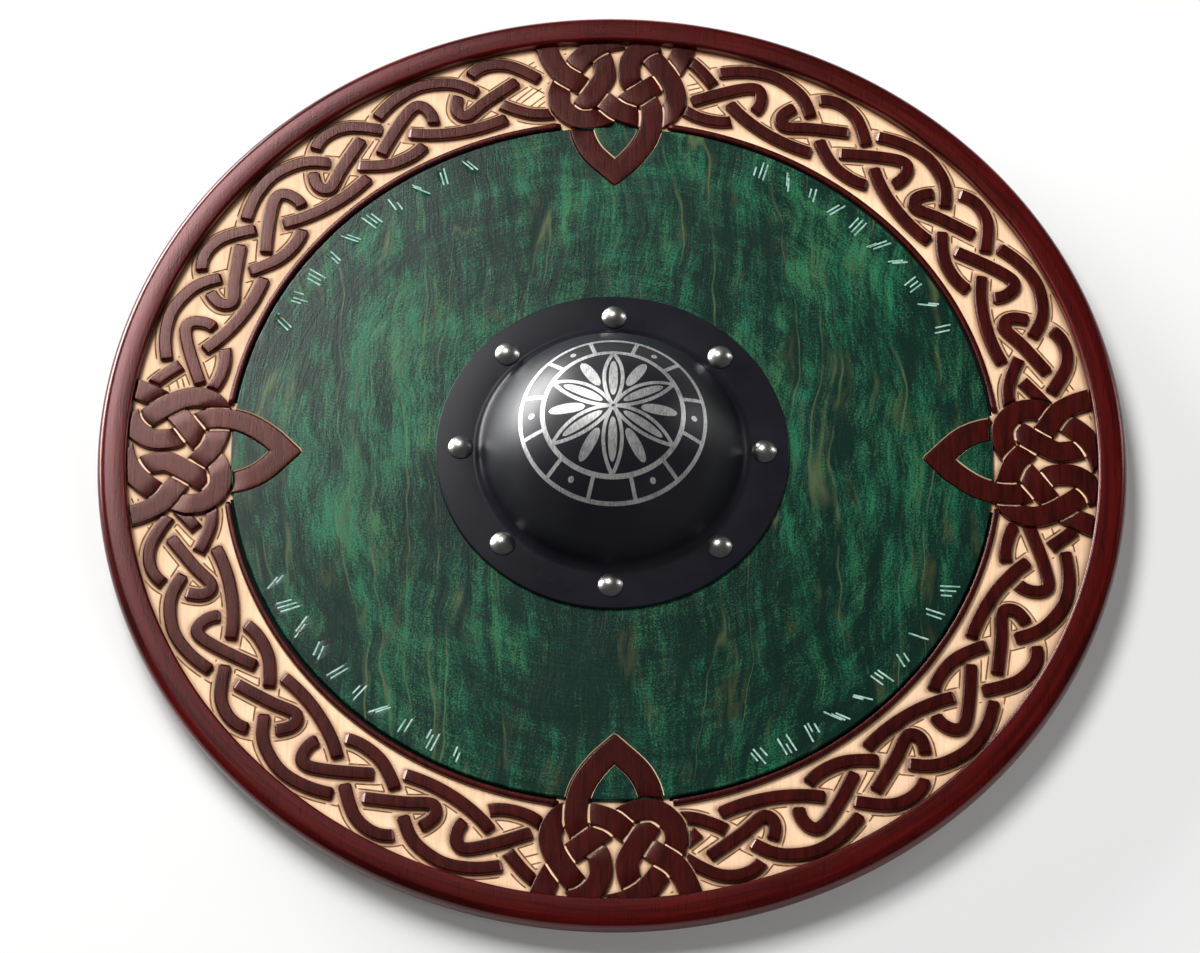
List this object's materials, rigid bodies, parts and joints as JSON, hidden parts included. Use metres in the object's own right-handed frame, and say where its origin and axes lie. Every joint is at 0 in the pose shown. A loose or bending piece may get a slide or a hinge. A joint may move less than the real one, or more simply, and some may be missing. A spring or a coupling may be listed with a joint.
{
  "type": "round shield",
  "caption": "Round wooden shield with a knotwork border carved in relief, a stained middle, a domed steel boss over a hand hole, a raised wooden rim and a grip.",
  "frame": {"origin": "on the surface the shield lies on, below the middle of the boss", "axes": "+Z out of the carved face, +Y towards the knot at the top of the design, +X to the right seen from the front, along the grip"},
  "size_m": [0.6, 0.6, 0.0783],
  "materials": {
    "carved_wood": "satin stained and carved",
    "rim_wood": "satin red-brown stain",
    "black_steel": "satin black with bright engraving",
    "grip_wood": "oiled",
    "nickel": "polished nickel"
  },
  "bodies": {
    "root": {"board": "carved_wood", "rim": "rim_wood", "boss": "black_steel", "grip": "grip_wood", "rivet_1": "nickel", "rivet_2": "nickel", "rivet_3": "nickel", "rivet_4": "nickel", "rivet_5": "nickel", "rivet_6": "nickel", "rivet_7": "nickel", "rivet_8": "nickel"}
  },
  "joints": []
}
